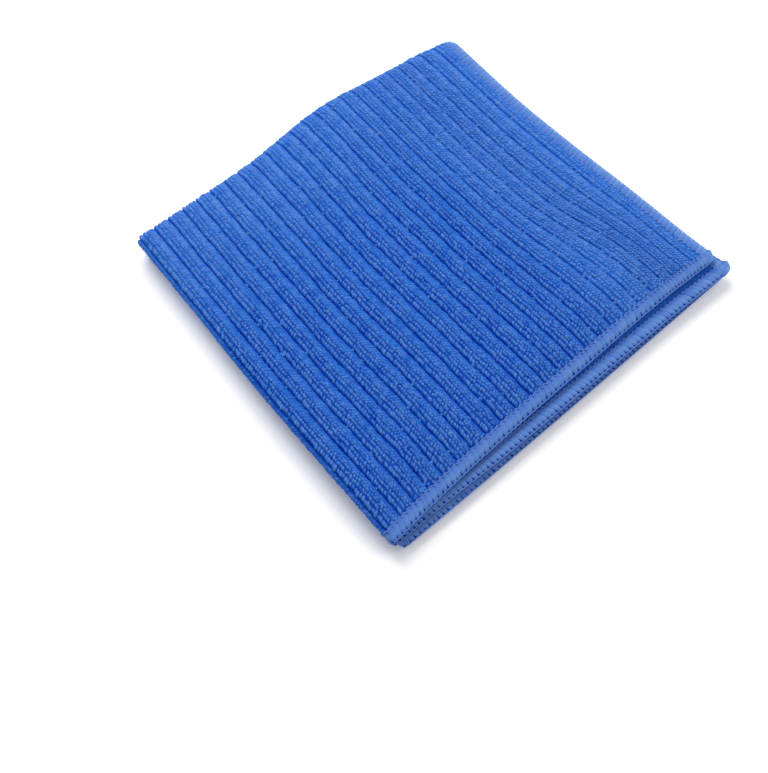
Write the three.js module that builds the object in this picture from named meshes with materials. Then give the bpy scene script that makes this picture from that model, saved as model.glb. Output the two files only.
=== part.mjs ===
// Ribbed microfibre cleaning cloth with overlocked edges, folded in quarters and lying flat.
// Millimetres, +Z up. X runs along the ribs, from the second fold to the front hems.
// Y runs across the ribs, from the first fold to the side hems.
import * as THREE from "three";
import { ParametricGeometry } from "three/addons/geometries/ParametricGeometry.js";
import { mergeVertices } from "three/addons/utils/BufferGeometryUtils.js";

// The cloth, before it is folded
const HALF_WIDTH = 167;         // across the ribs, from the first fold to a side hem
const RIB_PITCH = 6.75;         // one rib and its groove
const FIRST_GROOVE = 1.65;      // from the first fold to the groove beside it
const GROOVE_WIDTH = 1.5;
const RIB_HALF = 1.5;           // half the cloth's thickness at a rib
const GROOVE_HALF = 0.65;       // and in a groove
const HEM_WIDTH = 5;
const HEM_HALF = 0.95;
const HEM_STEP = 0.7;           // from the full rib down to the hem
const HEM_ROUND = 0.7;          // the hem's rounded outer edge
const CORNER_RADIUS = 4.5;

// The folds: layers lie this far apart, middle to middle
const LAYER = 3.5;
const TURN = LAYER / 2;                             // radius of the first fold's middle
const TURN_HALF = TURN * Math.PI / 2;               // cloth in half of that turn
const STACK_HALF = 1.5 * LAYER + RIB_HALF;          // half the height of the four layers

// The folded cloth in plan, about its middle, before it is made uneven
const PLAN = { fold: -75, front: 80, near: -82, side: 84 };

// Reach along X of the second fold and of each layer's front hem, at places across the cloth.
// From the top down, the layers are top, second, third and bottom.
const ALONG_REACH = [
  { at: -84, fold: -80.2, top: 80.6, second: 81.2, third: 83.4, bottom: 82.6 },
  { at: -62, fold: -79.8, top: 78.8, second: 81.2, third: 83.7, bottom: 81.2 },
  { at: -30, fold: -79.6, top: 77.3, second: 82.2, third: 83.9, bottom: 79.8 },
  { at: 10, fold: -83.2, top: 76.5, second: 82.6, third: 83.9, bottom: 79.0 },
  { at: 45, fold: -79.7, top: 76.1, second: 82.8, third: 83.8, bottom: 78.8 },
  { at: 86, fold: -76.2, top: 77.4, second: 84.4, third: 83.6, bottom: 79.2 },
];

// Reach along Y of the first fold, in the upper and lower pair, and of each layer's side hem,
// at places along the cloth
const ACROSS_REACH = [
  { at: -80, upper: -82.6, lower: -81.6, top: 83.8, second: 81.2, third: 81.0, bottom: 80.8 },
  { at: -35, upper: -83.8, lower: -82.0, top: 82.8, second: 80.8, third: 80.6, bottom: 80.4 },
  { at: 0, upper: -85.0, lower: -82.0, top: 84.0, second: 82.0, third: 81.8, bottom: 81.4 },
  { at: 35, upper: -85.2, lower: -81.8, top: 86.1, second: 84.0, third: 84.0, bottom: 83.0 },
  { at: 62, upper: -85.0, lower: -81.6, top: 87.2, second: 87.2, third: 86.4, bottom: 84.6 },
  { at: 80, upper: -84.6, lower: -81.6, top: 88.6, second: 91.6, third: 89.6, bottom: 86.4 },
];

// Soft swells and hollows of the stack, as a share of its height
const SWELLS = [
  { x: -56, y: 4, along: 20, across: 62, share: 0.1 },
  { x: 8, y: -52, along: 46, across: 26, share: 0.05 },
  { x: 44, y: 53, along: 26, across: 9, share: -0.12 },
  { x: 52, y: 70, along: 20, across: 10, share: 0.06 },
  { x: -22, y: 46, along: 34, across: 9, share: -0.08 },
];

// Shares of the height lost where the thinner hems lie on each other
const SINKS = {
  front: { from: 60, to: 80, share: 0.26 },
  side: { from: 62, to: 80, share: 0.18 },
};

// The top layer's side hem hangs over the others: the bend starts this far back from its edge
const DROOP = { back: 6, radius: 9 };

// How far ribs have strayed towards the side hem, at places across the flat cloth: near and far are how
// soon that fades towards the first fold and the hem, back and front are its amounts along the cloth
const DRIFTS = [
  { across: 93, near: 44, far: 31, back: 3.8, front: 4.4 },
  { across: 133, near: 20, far: 20, back: 0, front: 6 },
  { across: 147, near: 13, far: 13, back: -2.2, front: -1.5 },
];
const DRIFT_TURN = { from: 10, to: 60 };        // along X, from the back amount to the front one

const { lerp, smoothstep } = THREE.MathUtils;

// A column of a table at a place, on a smooth curve through its rows
function column(table, name, place) {
  const last = table.length - 1;
  const at = Math.min(Math.max(place, table[0].at), table[last].at);
  const i = Math.min(table.findLastIndex((row) => row.at <= at), last - 1);
  const slope = (k) => {
    const a = table[Math.max(k - 1, 0)], b = table[Math.min(k + 1, last)];
    return (b[name] - a[name]) / (b.at - a.at);
  };
  const span = table[i + 1].at - table[i].at;
  const t = (at - table[i].at) / span;
  return table[i][name] * (1 + 2 * t) * (1 - t) ** 2 + slope(i) * span * t * (1 - t) ** 2
    + table[i + 1][name] * t * t * (3 - 2 * t) + slope(i + 1) * span * t * t * (t - 1);
}

// The reach of the four layers' hems, blended through the turns that join them: under is 0 in the
// outer layers and 1 in the inner ones, upper is 1 in the upper pair and 0 in the lower one
function hemReach(table, place, under, upper) {
  return lerp(
    lerp(column(table, "bottom", place), column(table, "third", place), under),
    lerp(column(table, "top", place), column(table, "second", place), under), upper);
}

// How far the front hem draws back where the cloth's corner is rounded, from a side hem's edge on
function cornerInset(fromSide) {
  const within = Math.max(CORNER_RADIUS - fromSide, 0);
  return CORNER_RADIUS - Math.sqrt(CORNER_RADIUS ** 2 - within ** 2);
}

// The height of the stack at a place, as a share of the flat stack's
function stackShare(x, y) {
  const lost = (place, sink) => sink.share * smoothstep(place, sink.from, sink.to);
  return SWELLS.reduce(
    (share, s) => share + s.share * Math.exp(-(((x - s.x) / s.along) ** 2) - ((y - s.y) / s.across) ** 2),
    1 - Math.max(lost(x, SINKS.front), lost(y, SINKS.side)));
}

function ribDrift(v, x) {
  const front = smoothstep(x, DRIFT_TURN.from, DRIFT_TURN.to);
  const inside = smoothstep(HALF_WIDTH - v, HEM_WIDTH, 2.5 * HEM_WIDTH);
  return inside * DRIFTS.reduce((drift, d) => {
    const fade = (v - d.across) / (v < d.across ? d.near : d.far);
    return drift + lerp(d.back, d.front, front) * Math.exp(-fade * fade);
  }, 0);
}

// Places across the flat cloth, from the inner layers' side hem (-) to the outer layers' (+),
// with half the thickness there
function placesAcross() {
  const hem = (side) => [
    { v: side * HALF_WIDTH, half: 0 },
    { v: side * (HALF_WIDTH - HEM_ROUND), half: HEM_HALF },
    { v: side * (HALF_WIDTH - HEM_WIDTH / 2), half: HEM_HALF },
    { v: side * (HALF_WIDTH - HEM_WIDTH), half: HEM_HALF },
    { v: side * (HALF_WIDTH - HEM_WIDTH - HEM_STEP), half: RIB_HALF },
  ];
  const places = hem(-1);
  for (let v = -HALF_WIDTH + 18; v < -8; v += 2 * RIB_PITCH) places.push({ v, half: RIB_HALF });
  for (const turn of [-1, -0.667, -0.333, 0]) places.push({ v: turn * TURN_HALF, half: RIB_HALF });
  for (let v = FIRST_GROOVE; v < HALF_WIDTH - HEM_WIDTH - 4; v += RIB_PITCH) {
    places.push({ v: v - GROOVE_WIDTH / 2, half: RIB_HALF });
    places.push({ v, half: GROOVE_HALF });
    places.push({ v: v + GROOVE_WIDTH / 2, half: RIB_HALF });
  }
  return [...places, ...hem(1).reverse()];
}

// Places along the cloth, from the upper pair's front hem round the second fold to the lower pair's.
// A place is an angle in the turn, or a share of the way from the turn to the hem and a distance back.
function placesAlong() {
  const flat = [
    { share: 1, back: 0, hem: 0 },
    { share: 1, back: HEM_ROUND, hem: 1 },
    { share: 1, back: HEM_WIDTH, hem: 1 },
    { share: 1, back: HEM_WIDTH + HEM_STEP },
    ...[0.92, 0.82, 0.7, 0.56, 0.4, 0.24, 0.1].map((share) => ({ share, back: 0 })),
  ];
  const side = (upper) => flat.map((place) => ({ ...place, upper, angle: (upper ? 1 : -1) * Math.PI / 2 }));
  const turn = [90, 60, 30, 0, -30, -60, -90].map((degrees) => {
    const angle = THREE.MathUtils.degToRad(degrees);
    return { share: 0, back: 0, angle, upper: (1 + Math.sin(angle)) / 2 };
  });
  return [...side(1), ...turn, ...side(0).reverse()];
}

// A point of the folded cloth: a place along, a place across and a height w above the cloth's middle
function folded(along, v, w, target) {
  // first fold: the inner half turns under the outer one
  const turned = THREE.MathUtils.clamp(v / TURN, -Math.PI / 2, Math.PI / 2);
  const under = (1 - Math.sin(turned)) / 2;
  const across = Math.max(Math.abs(v) - TURN_HALF, 0) / (HALF_WIDTH - TURN_HALF);
  const flatX = lerp(PLAN.fold, PLAN.front, along.share) - along.back;
  const flatY = lerp(PLAN.near, PLAN.side, across);

  // overhang: the top layer's side bends down over the layers below
  const overhang = Math.max(DROOP.back - (HALF_WIDTH - v), 0) * along.upper;
  const bent = overhang / DROOP.radius;
  const height = (TURN + w * Math.cos(bent)) * Math.sin(turned) - DROOP.radius * (1 - Math.cos(bent));

  // second fold: the lower pair turns under the upper one
  const radius = LAYER + height;
  const foldX = column(ALONG_REACH, "fold", flatY) + STACK_HALF;
  const hemX = hemReach(ALONG_REACH, flatY, under, along.upper);
  const corner = along.share < 1 ? 0
    : cornerInset(HALF_WIDTH - Math.abs(v)) * Math.max(1 - along.back / HEM_WIDTH, 0);
  const x = lerp(foldX, hemX, along.share) - along.back - corner - radius * Math.cos(along.angle);

  const foldY = TURN + RIB_HALF
    + lerp(column(ACROSS_REACH, "lower", flatX), column(ACROSS_REACH, "upper", flatX), along.upper);
  const hemY = hemReach(ACROSS_REACH, flatX, under, along.upper);
  const y = lerp(foldY, hemY, across) + ribDrift(v, flatX) - (TURN + w) * Math.cos(turned)
    - overhang + (DROOP.radius + w) * Math.sin(bent);

  const z = (STACK_HALF + radius * Math.sin(along.angle)) * stackShare(x, y);
  return target.set(x, y, Math.abs(z) < 1e-6 ? 0 : z);
}

// One closed surface: out over the first face and back over the second, station by station
function clothGeometry() {
  const alongs = placesAlong();
  const faces = placesAcross();
  const loop = [
    ...faces.map(({ v, half }) => ({ v, half })),
    ...faces.slice(0, -1).reverse().map(({ v, half }) => ({ v, half: -half })),
  ];
  const surface = new ParametricGeometry((a, b, target) => {
    const { v, half } = loop[Math.round(a * (loop.length - 1))];
    const along = alongs[Math.round(b * (alongs.length - 1))];
    const most = along.hem === undefined ? RIB_HALF : along.hem * HEM_HALF;
    folded(along, v, THREE.MathUtils.clamp(half, -most, most), target);
  }, loop.length - 1, alongs.length - 1);
  surface.deleteAttribute("normal");
  surface.deleteAttribute("uv");
  const solid = mergeVertices(surface, 1e-3);
  solid.computeVertexNormals();
  solid.computeBoundingBox();
  return solid;
}

const geometry = clothGeometry();
const middle = geometry.boundingBox.getCenter(new THREE.Vector3());
const cloth = new THREE.Mesh(geometry, new THREE.MeshStandardMaterial({ color: 0x3768c3, roughness: 0.95 }));
cloth.name = "cloth";
cloth.position.set(-middle.x, -middle.y, 0);

const part = new THREE.Group();
part.name = "folded_ribbed_cloth";
part.add(cloth);
export default part;
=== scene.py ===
"""Ribbed microfibre cloth, folded in quarters and lying flat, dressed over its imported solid.

Metres, +Z up. +X runs along the ribs to the front hems and +Y across them to the side hems.
"""
import math

import bpy
import numpy as np
from mathutils import Matrix, Vector


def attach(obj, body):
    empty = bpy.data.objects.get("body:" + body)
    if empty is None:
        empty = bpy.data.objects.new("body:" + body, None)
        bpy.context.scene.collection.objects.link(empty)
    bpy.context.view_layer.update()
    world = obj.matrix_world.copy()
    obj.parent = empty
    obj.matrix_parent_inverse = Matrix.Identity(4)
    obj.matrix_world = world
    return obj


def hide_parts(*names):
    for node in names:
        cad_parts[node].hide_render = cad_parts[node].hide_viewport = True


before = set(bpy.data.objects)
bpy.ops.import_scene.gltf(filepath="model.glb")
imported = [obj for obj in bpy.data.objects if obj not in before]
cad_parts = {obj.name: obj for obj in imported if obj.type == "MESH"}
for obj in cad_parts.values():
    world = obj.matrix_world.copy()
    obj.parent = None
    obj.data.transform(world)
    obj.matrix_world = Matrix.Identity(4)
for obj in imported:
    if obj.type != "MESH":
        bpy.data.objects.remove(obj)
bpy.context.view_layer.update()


# Ground of the cloth: one closed sheet of knitted microfibre on the solid's two folds, ribbed where it
# lies outside and plain where it is hidden. The first fold runs along the ribs at -Y, the second across
# them at -X, turning the lower pair of layers under. Sizes are in millimetres until a point is placed.
MM = 0.001                                      # in metres
HALF_LENGTH, HALF_WIDTH = 158.0, 167.0
RIB_PITCH, FIRST_GROOVE = 6.75, 1.65
RIB_HALF = 1.5                                  # half the thickness, pile included
RIB_PROFILE = {                                 # from a rib's groove to the next, without the loops
    "at": (0.0, 0.22, 0.45, 3.5, 4.0, 4.7, 5.6, 6.2, 6.45, 6.62, 6.75),
    "half": (0.1, 0.4, 0.7, 0.74, 0.84, 0.94, 0.96, 0.9, 0.76, 0.4, 0.1),
    # tone: dark in the grooves and loop beds as painted shade, mid on the bands
    "tone": (0.2, 0.22, 0.3, 0.33, 0.44, 0.58, 0.56, 0.46, 0.38, 0.28, 0.2),
}
INNER_HALF, INNER_TONE = 1.3, 0.5               # of the hidden layers, which are plain
HEM_WIDTH, HEM_HALF, HEM_EDGE, CORNER_RADIUS = 5.0, 0.6, 0.2, 4.5
# Ground's shade in the hems: dark under the front hems as painted shade in the notches between stitches, mid
# under the side hems.
HEM_TONE = {"front": 0.15, "side": 0.5}
HEM_ROUND, HEM_STEP = 0.8, 0.4                  # how far its edge is rounded, and its inner side steps up
GROOVE_END = {"from": 0.3, "to": 0.5}           # half the thickness, where a groove gives way to the rib
LAYER = 3.5                                     # from one layer's middle to the next
TURN = LAYER / 2
TURN_HALF = TURN * math.pi / 2                  # cloth in half of the first fold's turn
BEND_HALF = 1.5 * LAYER * math.pi / 2           # and of the second fold's, in the outer layer
STACK_HALF = 1.5 * LAYER + RIB_HALF
FOLD_X, FRONT_X, NEAR_Y, SIDE_Y = -75.0, 80.0, -82.0, 84.0  # plain plan in which the tables are read
MIDDLE = (0.461, 3.223)                         # of the solid's box, in the plan of these tables

ALONG_REACH = {                                 # X of the second fold and of each layer's front hem, by Y
    "at": (-84, -62, -30, 10, 45, 86),
    "fold": (-80.2, -79.8, -79.6, -83.2, -79.7, -76.2),
    "top": (80.6, 78.8, 77.3, 76.5, 76.1, 77.4),
    "second": (81.2, 81.2, 82.2, 82.6, 82.8, 84.4),
    "third": (83.4, 83.7, 83.9, 83.9, 83.8, 83.6),
    "bottom": (82.6, 81.2, 79.8, 79.0, 78.8, 79.2),
}
ACROSS_REACH = {                                # Y of the first fold and of each layer's side hem, by X
    "at": (-80, -35, 0, 35, 62, 80),
    "upper": (-82.6, -83.8, -85.0, -85.2, -85.0, -84.6),
    "lower": (-81.6, -82.0, -82.0, -81.8, -81.6, -81.6),
    "top": (83.8, 82.8, 84.0, 86.1, 87.2, 88.6),
    "second": (81.2, 80.8, 82.0, 84.0, 87.2, 91.6),
    "third": (81.0, 80.6, 81.8, 84.0, 86.4, 89.6),
    "bottom": (80.8, 80.4, 81.4, 83.0, 84.6, 86.4),
}
SWELLS = (                                      # soft swells and hollows, as a share of the height
    {"x": -56, "y": 4, "along": 20, "across": 62, "share": 0.1},
    {"x": 8, "y": -52, "along": 46, "across": 26, "share": 0.05},
    {"x": 44, "y": 53, "along": 26, "across": 9, "share": -0.12},
    {"x": 52, "y": 70, "along": 20, "across": 10, "share": 0.06},
    {"x": -22, "y": 46, "along": 34, "across": 9, "share": -0.08},
)
SINKS = {                                       # share of the height lost towards the hems
    "front": {"from": 60, "to": 80, "share": 0.26},
    "side": {"from": 62, "to": 80, "share": 0.18},
}
DROOP = {"back": 6.0, "radius": 9.0}            # the top layer's side bends down over the others
DRIFTS = (                                      # how far ribs have strayed towards the side hem
    {"across": 93, "near": 44, "far": 31, "back": 3.8, "front": 4.4},
    {"across": 133, "near": 20, "far": 20, "back": 0.0, "front": 6.0},
    {"across": 147, "near": 13, "far": 13, "back": -2.2, "front": -1.5},
)
DRIFT_TURN = {"from": 10, "to": 60}             # along X, from the back amount to the front one
DRIFT_END = 2.5 * HEM_WIDTH                     # from the side's edge, where the drift starts to fade
WANDER = (                                      # how the rib lines stray sideways along their way
    {"stray": 0.14, "wave": 67.0, "turn": 0.5},
    {"stray": 0.1, "wave": 27.0, "turn": 2.1},
    {"stray": 0.08, "wave": 12.0, "turn": 3.9},
    {"stray": 0.05, "wave": 6.0, "turn": 1.3},
)
WANDER_FADE = {                                 # and where that starts, from the first fold and the hem
    "fold": {"from": 4, "to": 14}, "hem": {"from": 5, "to": 18},
}
FOLD_PRESS_AND_PAINTED_LIGHT = {                                  # pile pressed shorter, broader and lower by the second fold, and painted paler there as painted light
    "from": 85, "to": 8, "ground_tone": 0.27, "tone": 0.1, "longer": -0.15, "wider": 0.12, "lower": 0.4,
}
SIDE_PRESS = {                                  # and towards the side hems
    "from": 95, "to": 130, "ground_tone": 0.27, "tone": 0.11, "longer": -0.2, "wider": 0.24, "lower": 0.3,
}
# Under the standing pile the band's ground is darkened to ground_tone: painted shade, as in the loop beds.
FRONT_STAND = {                                 # pile that stands on half of each band by the front hems
    "from": 92, "to": 148, "band_from": 5.1, "band_to": 5.7, "ground_half": 0.74, "ground_tone": 0.33,
    "rise": 0.36, "span": 1.6, "skew": -0.45, "tone": 0.77,
}
MOTTLE, MOTTLE_MM = 0.65, 1.3                   # uneven shade, from loop to loop
PATCH, PATCH_MM = 0.4, 4.0                      # and from patch to patch
GRAIN_SLANT, GRAIN_STRETCH = math.radians(35), 2.5  # of the fibres, drawn coarser than real ones
SHADE_STOPS = (0.15, 0.6, 1.0)                  # of a fibre material's dark, middle and light shades


def column(table, name, place):
    """A smooth curve through a table's column, read at a place."""
    at, value = np.array(table["at"], float), np.array(table[name], float)
    before, after = np.maximum(np.arange(len(at)) - 1, 0), np.minimum(np.arange(len(at)) + 1, len(at) - 1)
    slope = (value[after] - value[before]) / (at[after] - at[before])
    place = np.clip(place, at[0], at[-1])
    i = np.clip(np.searchsorted(at, place, side="right") - 1, 0, len(at) - 2)
    span = at[i + 1] - at[i]
    t = (place - at[i]) / span
    return (value[i] * (1 + 2 * t) * (1 - t) ** 2 + slope[i] * span * t * (1 - t) ** 2
            + value[i + 1] * t * t * (3 - 2 * t) + slope[i + 1] * span * t * t * (t - 1))


def mix(a, b, share):
    return a + (b - a) * share


def hem_reach(table, place, under, upper):
    """How far a layer's hem reaches, from the four layers' curves."""
    low = mix(column(table, "bottom", place), column(table, "third", place), under)
    high = mix(column(table, "top", place), column(table, "second", place), under)
    return mix(low, high, upper)


def soft_step(value, start, end):
    t = np.clip((value - start) / (end - start), 0, 1)
    return t * t * (3 - 2 * t)


def stack_share(x, y):
    """Share of the stack's full height at a place: less by the hems, with swells and hollows."""
    front, side = (sink["share"] * soft_step(place, sink["from"], sink["to"])
                   for place, sink in ((x, SINKS["front"]), (y, SINKS["side"])))
    share = 1 - np.maximum(front, side)
    for s in SWELLS:
        share = share + s["share"] * np.exp(
            -((x - s["x"]) / s["along"]) ** 2 - ((y - s["y"]) / s["across"]) ** 2)
    return share


def rib_drift(across, x):
    """How far the ribs at a place have strayed towards the side hem, not in the hem itself."""
    drift = 0.0
    front = soft_step(x, DRIFT_TURN["from"], DRIFT_TURN["to"])
    for d in DRIFTS:
        fade = (across - d["across"]) / np.where(across < d["across"], d["near"], d["far"])
        drift = drift + mix(d["back"], d["front"], front) * np.exp(-fade * fade)
    return drift * soft_step(HALF_WIDTH - across, HEM_WIDTH, DRIFT_END)


def corner_inset(along, across):
    """How far the front hem draws back where the cloth's corner is rounded."""
    within = np.clip(CORNER_RADIUS - (HALF_WIDTH - np.abs(across)), 0, CORNER_RADIUS)
    inset = CORNER_RADIUS - np.sqrt(CORNER_RADIUS ** 2 - within ** 2)
    return inset * np.clip(1 - (HALF_LENGTH - np.abs(along)) / HEM_WIDTH, 0, 1)


def pile_change(name, along, across):
    """How much the press by the second fold or towards the side changes the pile; paler tones by the fold are
    painted light.
    """
    side = soft_step(across, SIDE_PRESS["from"], SIDE_PRESS["to"])
    fold = soft_step(np.abs(along), FOLD_PRESS_AND_PAINTED_LIGHT["from"], FOLD_PRESS_AND_PAINTED_LIGHT["to"]) * (1 - side)
    return FOLD_PRESS_AND_PAINTED_LIGHT[name] * fold + SIDE_PRESS[name] * side


def folded(along, across, height):
    """Place of a point of the cloth, along and across from the two folds and above its middle."""
    along, across, height = np.broadcast_arrays(*(np.asarray(v, float) for v in (along, across, height)))
    fold, hem = WANDER_FADE["fold"], WANDER_FADE["hem"]
    inside = (soft_step(np.abs(across), fold["from"], fold["to"])
              * soft_step(HALF_WIDTH - np.abs(across), hem["from"], hem["to"]))
    corner = corner_inset(along, across)
    for w in WANDER:
        across = across + inside * w["stray"] * np.sin(
            along * math.tau / w["wave"] + across * w["turn"] / RIB_PITCH)
    turned = np.clip(across / TURN, -math.pi / 2, math.pi / 2)
    under = (1 - np.sin(turned)) / 2
    out = np.maximum(np.abs(across) - TURN_HALF, 0) / (HALF_WIDTH - TURN_HALF)
    bend = np.clip(along / BEND_HALF, -1, 1) * math.pi / 2
    upper = (1 + np.sin(bend)) / 2
    forth = np.maximum(np.abs(along) - BEND_HALF, 0) / (HALF_LENGTH - BEND_HALF)
    flat_x, flat_y = mix(FOLD_X, FRONT_X, forth), mix(NEAR_Y, SIDE_Y, out)
    overhang = np.maximum(DROOP["back"] - (HALF_WIDTH - across), 0) * upper
    bent = overhang / DROOP["radius"]
    radius = LAYER + (TURN + height * np.cos(bent)) * np.sin(turned) - DROOP["radius"] * (1 - np.cos(bent))
    fold_x = column(ALONG_REACH, "fold", flat_y) + STACK_HALF
    x = mix(fold_x, hem_reach(ALONG_REACH, flat_y, under, upper), forth) - corner - radius * np.cos(bend)
    fold_y = TURN + RIB_HALF + mix(
        column(ACROSS_REACH, "lower", flat_x), column(ACROSS_REACH, "upper", flat_x), upper)
    y = (mix(fold_y, hem_reach(ACROSS_REACH, flat_x, under, upper), out) + rib_drift(across, flat_x)
         - (TURN + height) * np.cos(turned) - overhang + (DROOP["radius"] + height) * np.sin(bent))
    z = np.maximum((STACK_HALF + radius * np.sin(bend)) * stack_share(x, y), 0)
    return np.stack((x - MIDDLE[0], y - MIDDLE[1], z), axis=-1) * MM


def ground_profile(along, across):
    """Half the ground's thickness and its shade: grooves, loop beds and smooth bands, flat in the hems."""
    rib = (across - FIRST_GROOVE) / RIB_PITCH
    place = (rib - np.floor(rib)) * RIB_PITCH
    half = np.interp(place, RIB_PROFILE["at"], RIB_PROFILE["half"])
    tone = np.interp(place, RIB_PROFILE["at"], RIB_PROFILE["tone"])
    stands = soft_step(along, FRONT_STAND["from"], FRONT_STAND["to"])
    stands = stands * soft_step(place, FRONT_STAND["band_to"], FRONT_STAND["band_from"])
    half, tone = (mix(value, np.minimum(value, most), stands) for value, most in (
        (half, FRONT_STAND["ground_half"]), (tone, FRONT_STAND["ground_tone"])))
    on_rib = soft_step(half, GROOVE_END["from"], GROOVE_END["to"])
    tone = tone + pile_change("ground_tone", along, across) * on_rib
    half, tone = (np.where(across < -RIB_PITCH, plain, ribbed)
                  for plain, ribbed in ((INNER_HALF, half), (INNER_TONE, tone)))
    front, side = HALF_LENGTH - np.abs(along), HALF_WIDTH - np.abs(across)
    edge = np.minimum(front, side)
    hem = mix(HEM_EDGE, HEM_HALF, soft_step(edge, 0, HEM_ROUND))
    hem_tone = np.where(front < side, HEM_TONE["front"], HEM_TONE["side"])
    inner = soft_step(edge, HEM_WIDTH - HEM_STEP, HEM_WIDTH + HEM_STEP)
    return mix(hem, half, inner), mix(hem_tone, tone, inner)


def mesh_piece(name, points, faces, tone=None, uv=None):
    """A smooth mesh object from arrays of points and faces, with a shade for each point and a UV map."""
    mesh = bpy.data.meshes.new(name)
    points, faces = np.asarray(points, "f4").reshape(-1, 3), np.asarray(faces, "i4")
    mesh.vertices.add(len(points))
    mesh.vertices.foreach_set("co", points.ravel())
    mesh.loops.add(faces.size)
    mesh.loops.foreach_set("vertex_index", faces.ravel())
    mesh.polygons.add(len(faces))
    mesh.polygons.foreach_set("loop_start", np.arange(len(faces), dtype="i4") * faces.shape[1])
    mesh.polygons.foreach_set("use_smooth", np.ones(len(faces), bool))
    if tone is not None:
        shades = mesh.attributes.new("tone", "FLOAT", "POINT").data
        shades.foreach_set("value", np.asarray(tone, "f4").ravel())
    if uv is not None:
        layer = mesh.uv_layers.new(name="thread")
        layer.data.foreach_set("uv", np.asarray(uv, "f4").reshape(-1, 2)[faces.ravel()].ravel())
    mesh.update(calc_edges=True)
    piece = bpy.data.objects.new(name, mesh)
    bpy.context.scene.collection.objects.link(piece)
    return piece


def grid_faces(rows, columns, wrap=False):
    """Quads of a grid of points, row after row, closed into a tube across its columns if wrap."""
    r, c = np.meshgrid(np.arange(rows - 1), np.arange(columns if wrap else columns - 1), indexing="ij")
    a, b = r * columns + c, r * columns + (c + 1) % columns
    return np.stack((a, b, b + columns, a + columns), axis=-1).reshape(-1, 4)


def joined(parts):
    """Points and faces of one piece from parts, each a stack of like grids and the faces of one of them."""
    points, faces, start = [], [], 0
    for stack, one in parts:
        starts = start + np.arange(len(stack)) * (stack[0].size // 3)
        points.append(stack.reshape(-1, 3))
        faces.append((one + starts[:, None, None]).reshape(-1, 4))
        start += stack.size // 3
    return np.concatenate(points), np.concatenate(faces)


def linear(code):
    """A colour written as sRGB hex, as the linear values that shaders take."""
    parts = [int(code[i:i + 2], 16) / 255 for i in (1, 3, 5)]
    return tuple(p / 12.92 if p <= 0.04045 else ((p + 0.055) / 1.055) ** 2.4 for p in parts) + (1.0,)


def add_node(tree, kind, inputs=None, **settings):
    """A node with its settings, and inputs that are values or other nodes' outputs."""
    node = tree.nodes.new(kind)
    for name, value in settings.items():
        setattr(node, name, value)
    for name, value in (inputs or {}).items():
        if isinstance(value, bpy.types.NodeSocket):
            tree.links.new(value, node.inputs[name])
        else:
            node.inputs[name].default_value = value
    return node


def fibre_material(name, shades, sheen, grain_mm, grain_depth_mm):
    """Microfibre yarn: the shade comes from each piece's tone, mottled, over a slanting fibre grain."""
    material = bpy.data.materials.new(name)
    material.use_nodes = True
    tree = material.node_tree
    tree.nodes.clear()
    place = add_node(tree, "ShaderNodeTexCoord").outputs["Object"]
    tone = add_node(tree, "ShaderNodeAttribute", attribute_name="tone").outputs["Fac"]
    mottle = add_node(tree, "ShaderNodeTexNoise", {
        "Vector": place, "Scale": 1 / MM / MOTTLE_MM, "Detail": 4.0, "Roughness": 0.65})
    patch = add_node(tree, "ShaderNodeTexNoise", {
        "Vector": place, "Scale": 1 / MM / PATCH_MM, "Detail": 2.0})
    shade = add_node(tree, "ShaderNodeMath", {0: mottle.outputs["Fac"], 1: MOTTLE, 2: tone},
                     operation="MULTIPLY_ADD").outputs[0]
    shade = add_node(tree, "ShaderNodeMath", {0: patch.outputs["Fac"], 1: PATCH, 2: shade},
                     operation="MULTIPLY_ADD").outputs[0]
    shade = add_node(tree, "ShaderNodeMath", {0: shade, 1: (MOTTLE + PATCH) / 2}, operation="SUBTRACT")
    ramp = add_node(tree, "ShaderNodeValToRGB", {"Fac": shade.outputs[0]})
    dark, light = ramp.color_ramp.elements
    dark.position, dark.color = SHADE_STOPS[0], linear(shades[0])
    light.position, light.color = SHADE_STOPS[2], linear(shades[2])
    ramp.color_ramp.elements.new(SHADE_STOPS[1]).color = linear(shades[1])
    slant = add_node(tree, "ShaderNodeMapping", {
        "Vector": place, "Rotation": (0.0, 0.0, GRAIN_SLANT), "Scale": (1.0, 1 / GRAIN_STRETCH, 1.0)})
    grain = add_node(tree, "ShaderNodeTexNoise", {
        "Vector": slant.outputs["Vector"], "Scale": 1 / MM / grain_mm, "Detail": 2.0})
    bump = add_node(tree, "ShaderNodeBump", {
        "Height": grain.outputs["Fac"], "Strength": 0.7, "Distance": grain_depth_mm * MM})
    shader = add_node(tree, "ShaderNodeBsdfPrincipled", {
        "Base Color": ramp.outputs["Color"], "Roughness": 0.95, "Specular IOR Level": 0.0,
        "Sheen Weight": sheen, "Sheen Roughness": 0.5, "Sheen Tint": linear("#7ea4f0"),
        "Normal": bump.outputs["Normal"]})
    add_node(tree, "ShaderNodeOutputMaterial", {"Surface": shader.outputs["BSDF"]})
    return material


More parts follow.
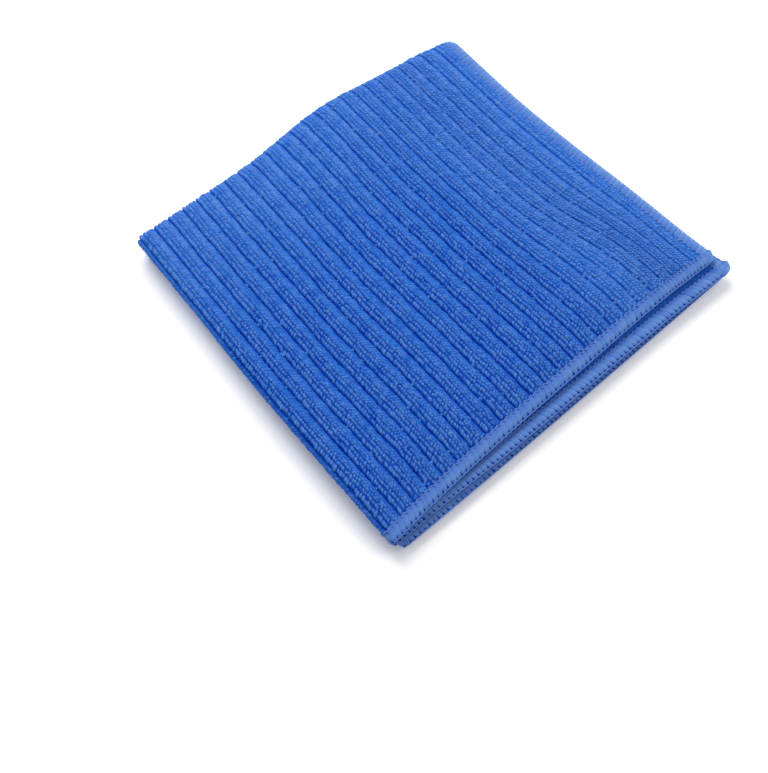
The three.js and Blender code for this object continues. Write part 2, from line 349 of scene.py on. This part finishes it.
# Rows of points: close in the hems, even between them, and across the ribs where their profile turns
UPPER_ROWS, LOWER_ROWS, BEND_ROWS = 78, 30, 17
UPPER_FROM, LOWER_FROM = HEM_WIDTH + 2.5, HEM_WIDTH + 4.5
RIB_END, INNER_END = HALF_WIDTH - HEM_WIDTH - 0.7, HALF_WIDTH - HEM_WIDTH - 1
INNER_FROM, INNER_STEP = 7.5, 4.0
FIRST_FOLD_PLACES = (-3.4, -2.75, -2.1)
edge_steps = np.array((0, 0.25, 0.8, 2.6, HEM_WIDTH - 0.5, HEM_WIDTH + 0.5))
upper_steps = np.concatenate((edge_steps, np.linspace(UPPER_FROM, HALF_LENGTH - BEND_HALF, UPPER_ROWS)))
lower_steps = np.concatenate((edge_steps, np.linspace(LOWER_FROM, HALF_LENGTH - BEND_HALF, LOWER_ROWS)))
turn_places = np.linspace(BEND_HALF, -BEND_HALF, BEND_ROWS)[1:-1]
along_places = np.concatenate((HALF_LENGTH - upper_steps, turn_places, (lower_steps - HALF_LENGTH)[::-1]))
groove = np.arange(FIRST_GROOVE - RIB_PITCH, HALF_WIDTH, RIB_PITCH)
rib_places = (groove[:, None] + np.array(RIB_PROFILE["at"][:-1])).ravel()
rib_places = rib_places[rib_places < RIB_END]
inner_places = np.arange(INNER_FROM, INNER_END, INNER_STEP)
across_places = np.sort(np.concatenate((
    rib_places, FIRST_FOLD_PLACES, -inner_places, HALF_WIDTH - edge_steps, edge_steps - HALF_WIDTH)))
along_grid, across_grid = np.meshgrid(along_places, across_places, indexing="ij")
half_grid, tone_grid = ground_profile(along_grid, across_grid)
rows, columns = along_grid.shape
faces = grid_faces(rows, columns)
rim = np.concatenate((
    np.arange(columns), np.arange(1, rows) * columns + columns - 1,
    (rows - 1) * columns + np.arange(columns - 2, -1, -1), np.arange(rows - 2, 0, -1) * columns))
next_rim = np.roll(rim, -1)
count = rows * columns
rim_faces = np.stack((rim, rim + count, next_rim + count, next_rim), axis=-1)
ground = mesh_piece(
    "cloth_ground",
    np.concatenate((folded(along_grid, across_grid, half_grid).reshape(-1, 3),
                    folded(along_grid, across_grid, -half_grid).reshape(-1, 3))),
    np.concatenate((faces, faces[:, ::-1] + count, rim_faces)),
    tone=np.tile(tone_grid.ravel(), 2))
# Knitted microfibre: mid blue and faintly grained on the bands, painted dark blue in the grooves and loop
# beds as painted shade
ground.data.materials.append(fibre_material(
    "microfibre_ground", ("#002ea0", "#2c68c5", "#628ad0"), sheen=0.0, grain_mm=1.0, grain_depth_mm=0.9))
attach(ground, "root")
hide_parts("cloth")


# Pile of the cloth: on each rib three rows of short standing yarn loops, then two rows that lie slanting and
# flat as a smooth band. They cover the outer layer all round, some lie over a groove, and by the front hems
# half of the band stands up too. The loops are knitted into the ground with their feet in it.
LOOP_PITCH, LOOP_LEAN = 1.3, 0.1
LOOP_END = 0.35                                 # the yarn's width at a loop's feet, of that at its top
LOOP_STRAY = {                                  # from loop to loop; tail and most: of the few that stray far
    "along": 0.12, "across": 0.07, "tail": 3, "most": 4, "skew": 0.2, "size": 0.12, "tone": 0.06,
}
MOST_WIDER = 2                                  # times wider's share, for the loop that is pressed most
LOOP_ROWS = {                                   # at: from a rib's groove; the last row lies over the groove
    "at": (1.2, 2.88, 4.25, 5.15, 5.95, 0.0),
    "foot": (0.54, 0.58, 0.6, 0.6, 0.56, 0.55),
    "rise": (0.38, 0.36, 0.32, 0.16, 0.14, 0.3),
    "yarn": (0.54, 0.52, 0.52, 0.5, 0.5, 0.56),
    "span": (1.9, 1.65, 1.6, 1.9, 1.9, 1.3),
    "skew": (-0.6, -0.5, -0.4, 0.5, 0.5, -0.5),
    "tone": (0.78, 0.8, 0.74, 0.69, 0.6, 0.72),
    "stands": (0, 0, 0, 1, 0.25, 0),            # how far the lying rows stand up by the front hems
}
LOOP_SECTION = {"across": (1.0, 0.72, 0.0, -0.72, -1.0), "up": (0.0, 0.62, 0.85, 0.62, 0.0)}
BREAKS = {                                      # where loops lie over a groove
    "waves": (17.0, 7.3, 3.1), "above": 2.1, "most": {"across": 130, "width": 18, "above": 0.5},
}
RIBS = 25
PILE_EDGE = {"front": HEM_WIDTH + 0.25, "side": HEM_WIDTH + 0.9}  # where the pile ends by the hems
pile_random = np.random.default_rng(7)
break_phase = pile_random.uniform(0, math.tau, (RIBS, 3))


def yarn_loops(low, high, steps, section):
    """Arched loops between two places along the cloth: their points, faces and shades."""
    rib, row, place = np.meshgrid(
        np.arange(RIBS) - 1, np.arange(len(LOOP_ROWS["at"])), np.arange(low, high, LOOP_PITCH), indexing="ij")
    at, foot, rise, yarn, span, skew, tone, stands = (np.array(values)[row] for values in LOOP_ROWS.values())
    most = LOOP_STRAY["most"]
    strays = pile_random.standard_t(LOOP_STRAY["tail"], (2, *place.shape))
    stray_along, stray_across = strays.clip(-most, most)
    along = place + row % 2 * LOOP_PITCH / 2 + LOOP_STRAY["along"] * stray_along
    across = FIRST_GROOVE + rib * RIB_PITCH + at + LOOP_STRAY["across"] * stray_across
    wave = sum(np.sin(along * math.tau / length + break_phase[rib + 1, i])
               for i, length in enumerate(BREAKS["waves"]))
    often = np.exp(-((across - BREAKS["most"]["across"]) / BREAKS["most"]["width"]) ** 2)
    broken = (wave > mix(BREAKS["above"], BREAKS["most"]["above"], often)) & (across > RIB_PITCH)
    inside = (np.abs(along) < HALF_LENGTH - PILE_EDGE["front"]) & (across < HALF_WIDTH - PILE_EDGE["side"])
    keep = ((at > 0) | broken) & inside
    along, across, foot, rise, yarn, span, skew, tone, stands = (
        values[keep][:, None] for values in (along, across, foot, rise, yarn, span, skew, tone, stands))
    stands = stands * soft_step(along, FRONT_STAND["from"], FRONT_STAND["to"])
    rise, span, skew, tone = (mix(value, FRONT_STAND[name], stands) for name, value in (
        ("rise", rise), ("span", span), ("skew", skew), ("tone", tone)))
    one_each = along.shape
    size = pile_random.normal(1, LOOP_STRAY["size"], one_each)
    tone_change, longer, wider, lower = (
        pile_change(name, along, across) for name in ("tone", "longer", "wider", "lower"))
    t = np.linspace(0, 1, steps)
    arch = np.sin(t * math.pi)
    span = (t - 0.5) * span * size * (1 + longer)
    skew = (skew + pile_random.normal(0, LOOP_STRAY["skew"], one_each)) * (1 - lower)
    wider = wider * pile_random.uniform(0, MOST_WIDER, one_each)
    wide, up = (np.array(LOOP_SECTION[name])[section] for name in ("across", "up"))
    yarn = (yarn * size * (1 + wider) * mix(LOOP_END, 1, arch))[:, :, None]
    run = (along + span * np.cos(skew))[:, :, None] - yarn * wide * np.sin(skew)[:, :, None]
    side = (across + span * np.sin(skew) - LOOP_LEAN * size * arch)[:, :, None]
    side = side + yarn * wide * np.cos(skew)[:, :, None]
    height = (foot + rise * size * (1 - lower) * arch)[:, :, None] + yarn * up
    points, faces = joined([(folded(run, side, np.minimum(height, RIB_HALF)), grid_faces(steps, len(up)))])
    tone = tone + tone_change + pile_random.normal(0, LOOP_STRAY["tone"], one_each)
    return points, faces, np.repeat(tone, steps * len(up))


# Microfibre yarn of the loops: matt mid blue, deeper in places and paler on the tops, with a faint grain
pile_yarn = fibre_material(
    "microfibre_pile", ("#0443b2", "#2f6ac7", "#5887d2"), sheen=0.02, grain_mm=0.6, grain_depth_mm=0.15)
half_way = 70.0                                 # between the two pieces of the upper layer's pile
round_fold = -BEND_HALF * 1.2                   # and where the pile on the underside starts
full, plain = slice(None), slice(None, None, 2)  # all points of a loop's section, or every other one
for name, (points, faces, tone) in (
        ("pile_front", yarn_loops(half_way, HALF_LENGTH, steps=4, section=full)),
        ("pile_back", yarn_loops(round_fold, half_way, steps=4, section=full)),
        ("pile_under", yarn_loops(-HALF_LENGTH, round_fold, steps=3, section=plain))):
    piece = mesh_piece(name, points, faces, tone=tone)
    piece.data.materials.append(pile_yarn)
    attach(piece, "root")


# Overlocked hem: for each stitch a flat bundle of paler thread is wrapped over the cloth's edge from face
# to face, with a scalloped chain along its inner side and a straight one along the edge.
# It runs along all four edges of the cloth, round both folds.
STITCH, STITCH_SLANT, BUNDLE_HALF = 2.18, 1.4, 1.2
FIRST_STITCH = 0.4                              # from the corner, in stitches
BUNDLE_FACE = 0.6                               # height above which a bundle lies on a face of the cloth
BUNDLE_PATH = {                                 # from the inner side to the edge, on one face
    "in": (5.2, 4.6, 3.7, 2.8, 2.0, 1.2, 0.5, -0.1),
    "up": (0.6, 0.95, 1.2, 1.34, 1.36, 1.2, 0.8, 0.0),
    "wide": (0.6, 0.78, 0.94, 1.0, 0.98, 0.82, 0.6, 0.6),
    # tone: painted light on the crest; darker towards the inner side, where the pile's shadow is painted and
    # the cloth shows between the thinner threads
    "tone": (0.05, 0.1, 0.18, 0.42, 0.6, 0.58, 0.45, 0.4),
}
HEM_STYLE = {                                   # the side hems are sewn broader and closer, and look paler
    "front": {"reach": 1.0, "least_wide": 0.0, "paler": 0.0},
    "side": {"reach": 1.1, "least_wide": 0.9, "paler": 0.12},
}
BUNDLE_DOME = {"at": (-1.0, -0.7, 0.0, 0.7, 1.0), "sag": (0.36, 0.13, 0.0, 0.13, 0.36)}
FILAMENT_MM, FILAMENT_DEPTH_MM = 0.75, 0.1      # drawn coarser than the real filaments
FILAMENT_HIGHLIGHT = 0.3                             # how much paler their tops are painted: a painted highlight
WAVE_PERIOD = math.tau / 20                     # of the wave texture, at a scale of one
CHAINS = {                                      # the inner chain and the one on the edge
    "in": (4.4, 0.2), "in_wave": (0.6, -0.1), "up": (1.12, 0.62), "up_wave": (-0.14, 0.05),
    "yarn": (0.2, 0.15),
}
CHAIN_STEPS, CHAIN_SIDES, CHAIN_TONE = 8, 4, 0.6
HEM_STRAY = {"stitch": 0.06, "size": 0.04, "tone": 0.08, "filament": 9}  # from stitch to stitch
hem_random = np.random.default_rng(11)


def on_edge(edge, run, inward, up):
    """Place of a point of the hem on one of the four edges."""
    if edge in ("front_upper", "front_lower"):
        side = 1 if edge == "front_upper" else -1
        return folded(side * (HALF_LENGTH - inward), run, up)
    side = 1 if edge == "side_outer" else -1
    return folded(run, side * (HALF_WIDTH - inward), up)


def thread_material(name, shade, light):
    """Smooth multifilament thread: its shade comes from the piece's tone, with fine lines along its run."""
    material = bpy.data.materials.new(name)
    material.use_nodes = True
    tree = material.node_tree
    tree.nodes.clear()
    uv = add_node(tree, "ShaderNodeUVMap", uv_map="thread").outputs["UV"]
    lines = add_node(tree, "ShaderNodeTexWave", {
        "Vector": uv, "Scale": WAVE_PERIOD / FILAMENT_MM, "Distortion": 1.6, "Detail": 2.0,
        "Detail Scale": 1.5}, bands_direction="X")
    tone = add_node(tree, "ShaderNodeAttribute", attribute_name="tone").outputs["Fac"]
    paler = add_node(tree, "ShaderNodeMath", {0: lines.outputs["Fac"], 1: FILAMENT_HIGHLIGHT, 2: tone},
                     operation="MULTIPLY_ADD").outputs[0]
    colour = add_node(tree, "ShaderNodeMix", {
        "Factor": paler, "A": linear(shade), "B": linear(light)}, data_type="RGBA")
    bump = add_node(tree, "ShaderNodeBump", {
        "Height": lines.outputs["Fac"], "Strength": 0.3, "Distance": FILAMENT_DEPTH_MM * MM})
    shader = add_node(tree, "ShaderNodeBsdfPrincipled", {
        "Base Color": colour.outputs["Result"], "Roughness": 0.65, "Specular IOR Level": 0.25,
        "Sheen Weight": 0.1, "Sheen Roughness": 0.4, "Sheen Tint": linear("#b9cdf6"),
        "Normal": bump.outputs["Normal"]})
    add_node(tree, "ShaderNodeOutputMaterial", {"Surface": shader.outputs["BSDF"]})
    return material


inward, up, wide, tone = (np.array(values) for values in BUNDLE_PATH.values())
inward, wide, tone = (np.concatenate((one, one[-2::-1]))[:, None] for one in (inward, wide, tone))
up = np.concatenate((up, -up[-2::-1]))[:, None]
on_face = np.abs(up) > BUNDLE_FACE
dome, sag = np.array(BUNDLE_DOME["at"]), np.array(BUNDLE_DOME["sag"])
bundles, bundle_uv, bundle_tone, chains = [], [], [], []
for edge, half, hand in (("front_upper", HALF_WIDTH, 1), ("front_lower", HALF_WIDTH, -1),
                         ("side_outer", HALF_LENGTH, -1), ("side_inner", HALF_LENGTH, 1)):
    reach, least_wide, paler = HEM_STYLE[edge.split("_")[0]].values()
    stitch = np.arange(-half + FIRST_STITCH * STITCH, half, STITCH)
    stitch = (stitch + hem_random.normal(0, HEM_STRAY["stitch"], len(stitch)))[:, None, None]
    size = hem_random.normal(1, HEM_STRAY["size"], stitch.shape)
    run = stitch + dome * BUNDLE_HALF * np.maximum(wide, least_wide) * size
    run = run + STITCH_SLANT * inward / HEM_WIDTH
    bundles.append((
        on_edge(edge, np.clip(run, -half, half), inward * reach + np.where(on_face, 0, sag),
                up - np.where(on_face, np.sign(up) * sag, 0)),
        grid_faces(len(inward), len(dome))[:, ::-hand]))
    filament = np.stack(np.broadcast_arrays(dome * BUNDLE_HALF, inward), axis=-1)
    bundle_uv.append(filament + hem_random.uniform(0, HEM_STRAY["filament"], (len(stitch), 1, 1, 1)))
    shade = tone + paler + np.zeros(len(dome)) + hem_random.normal(0, HEM_STRAY["tone"], stitch.shape)
    bundle_tone.append(shade.ravel())
    fine = np.arange(-half, half, STITCH / CHAIN_STEPS)[:, None]
    wave = (1 - np.cos(fine * math.tau / STITCH)) / 2
    turn = np.arange(CHAIN_SIDES) * math.tau / CHAIN_SIDES
    for face in (1, -1):
        for line_in, in_wave, line_up, up_wave, yarn in zip(*CHAINS.values()):
            ring = on_edge(edge, fine, (line_in + in_wave * wave) * reach + yarn * np.cos(turn),
                           face * (line_up + up_wave * wave + yarn * np.sin(turn)))
            chains.append((ring[None], grid_faces(len(fine), len(turn), wrap=True)[:, ::face * hand]))

points, faces = joined(bundles)
hem_threads = mesh_piece(
    "hem_threads", points, faces, tone=np.concatenate(bundle_tone), uv=np.concatenate(bundle_uv))
# Overlock thread: paler and a little smoother than the pile, in fine lines across the hem
hem_threads.data.materials.append(thread_material("overlock_thread", "#3664be", "#628cce"))

points, faces = joined(chains)
hem_chain = mesh_piece(
    "hem_chain", points, faces, tone=np.full(len(points), CHAIN_TONE), uv=points[:, :2] / MM)
# Looper thread: the same thread, painted paler where it stands proud as a thin line, as a painted highlight
hem_chain.data.materials.append(thread_material("looper_thread", "#4a76cc", "#6f97e0"))
for piece in (hem_threads, hem_chain):
    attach(piece, "root")


# Stage: a plain pale floor under the cloth, wide soft light from above and the world, and the camera.
# Nothing of this is part of the object.
CAMERA = {"azimuth": 49.645, "elevation": 67.189, "roll": -0.196, "distance": 0.34385, "lens": 41.91,
          "target": (0.0306 - MIDDLE[0] * MM, -0.045205 - MIDDLE[1] * MM, 0.0)}
floor_half = 6.0
floor = mesh_piece("floor", [(-floor_half, -floor_half, 0), (floor_half, -floor_half, 0),
                             (floor_half, floor_half, 0), (-floor_half, floor_half, 0)], [(0, 1, 2, 3)])
floor_material = bpy.data.materials.new("pale_floor")
floor_material.use_nodes = True
floor_shader = floor_material.node_tree.nodes["Principled BSDF"]
floor_shader.inputs["Base Color"].default_value = linear("#ffffff")
floor_shader.inputs["Roughness"].default_value = 0.9
floor_shader.inputs["Emission Color"].default_value = linear("#ffffff")
floor_shader.inputs["Emission Strength"].default_value = 0.1
floor.data.materials.append(floor_material)

world = bpy.data.worlds.new("soft_white")
world.use_nodes = True
sky = world.node_tree.nodes["Background"]
sky.inputs["Color"].default_value = linear("#ffffff")
sky.inputs["Strength"].default_value = 0.42
bpy.context.scene.world = world
bpy.context.scene.view_settings.view_transform = "Standard"
for name, place, size, power in (("key_light", (-0.6, 0.13, 0.81), 0.64, 7.9),
                                 ("fill_light", (0.2, 0.7, 0.9), 0.8, 3.4)):
    light = bpy.data.lights.new(name, "AREA")
    light.shape, light.size, light.energy = "DISK", size, power
    lamp = bpy.data.objects.new(name, light)
    lamp.location = place
    lamp.rotation_euler = (-Vector(place)).to_track_quat("-Z", "Y").to_euler()
    bpy.context.scene.collection.objects.link(lamp)

azimuth, elevation = math.radians(CAMERA["azimuth"]), math.radians(CAMERA["elevation"])
back = Vector((math.sin(azimuth) * math.cos(elevation), -math.cos(azimuth) * math.cos(elevation),
               math.sin(elevation)))
lens = bpy.data.cameras.new("camera")
lens.lens, lens.sensor_width, lens.clip_start = CAMERA["lens"], 36.0, 0.01
camera = bpy.data.objects.new("camera", lens)
right = Vector((0, 0, 1)).cross(back).normalized()
upright = back.cross(right)
turn = Matrix.Rotation(math.radians(CAMERA["roll"]), 3, back)
camera.matrix_world = Matrix.Translation(Vector(CAMERA["target"]) + back * CAMERA["distance"]) @ (
    turn @ Matrix((right, upright, back)).transposed()).to_4x4()
bpy.context.scene.collection.objects.link(camera)
bpy.context.scene.camera = camera
